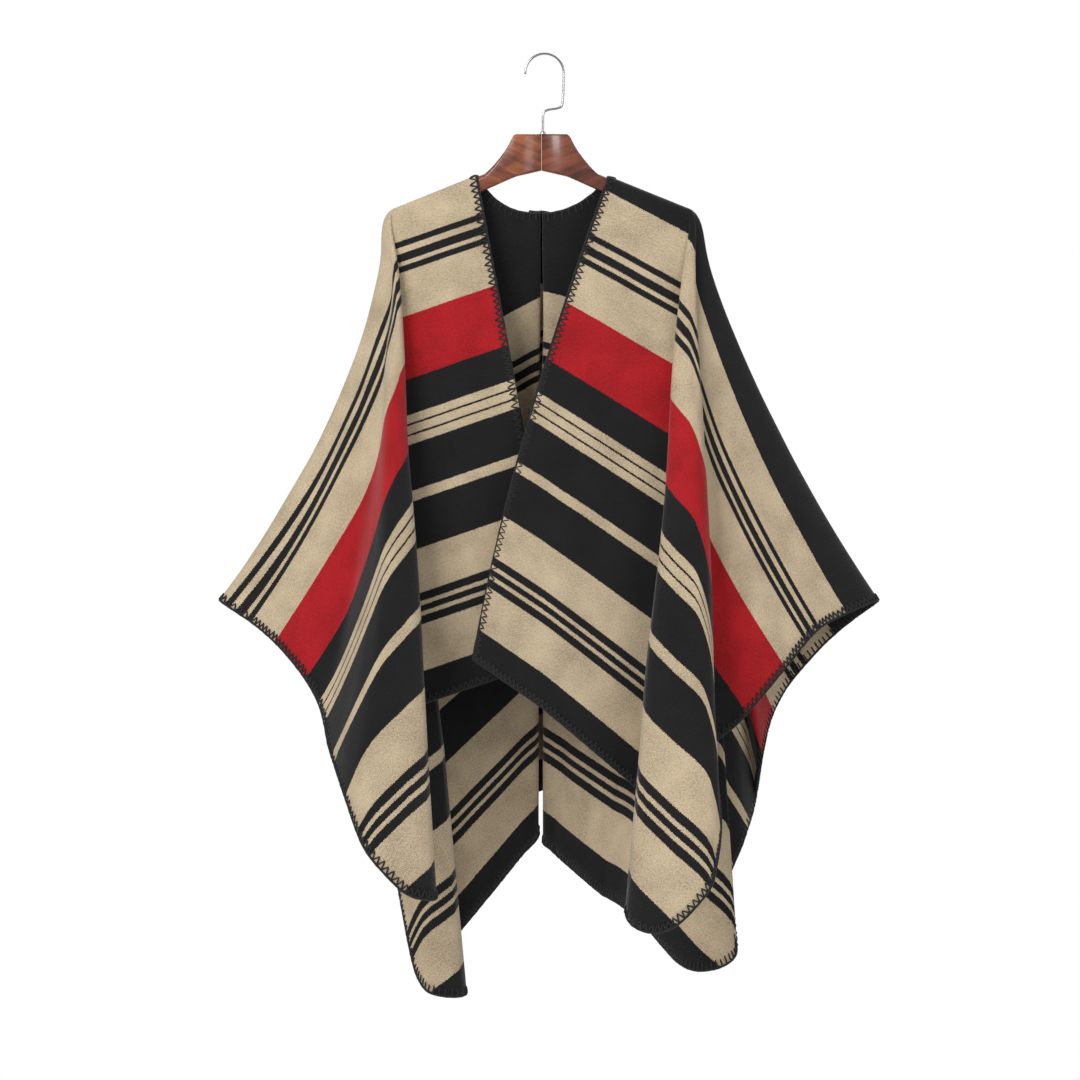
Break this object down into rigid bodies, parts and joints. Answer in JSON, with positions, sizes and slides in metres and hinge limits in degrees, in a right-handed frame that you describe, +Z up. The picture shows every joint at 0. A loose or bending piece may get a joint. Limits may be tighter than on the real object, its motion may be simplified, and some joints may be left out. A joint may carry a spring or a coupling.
{
  "type": "open-front knitted poncho on a wooden hanger with a wire hook",
  "caption": "Open-front striped blanket poncho with stitched edges, hanging on a wooden hanger with a wire hook.",
  "frame": {"origin": "under the crown of the hook, where the hanger hangs", "axes": "+Z up, -Y is the open front of the poncho, +X to the viewer's right"},
  "size_m": [0.8449, 0.3348, 1.2104],
  "materials": {
    "cloth": "brushed striped knit, matt",
    "cloth_back": "brushed striped knit, matt",
    "edge_yarn": "thick black wool yarn",
    "wood_light": "clear satin lacquer",
    "wood_dark": "clear satin lacquer",
    "nickel": "polished nickel wire"
  },
  "bodies": {
    "root": {"front_left": "cloth", "front_right": "cloth", "back": "cloth_back", "hanger_left": "wood_light", "hanger_right": "wood_dark", "hook_wire": "nickel", "hook_collar": "nickel"}
  },
  "joints": []
}
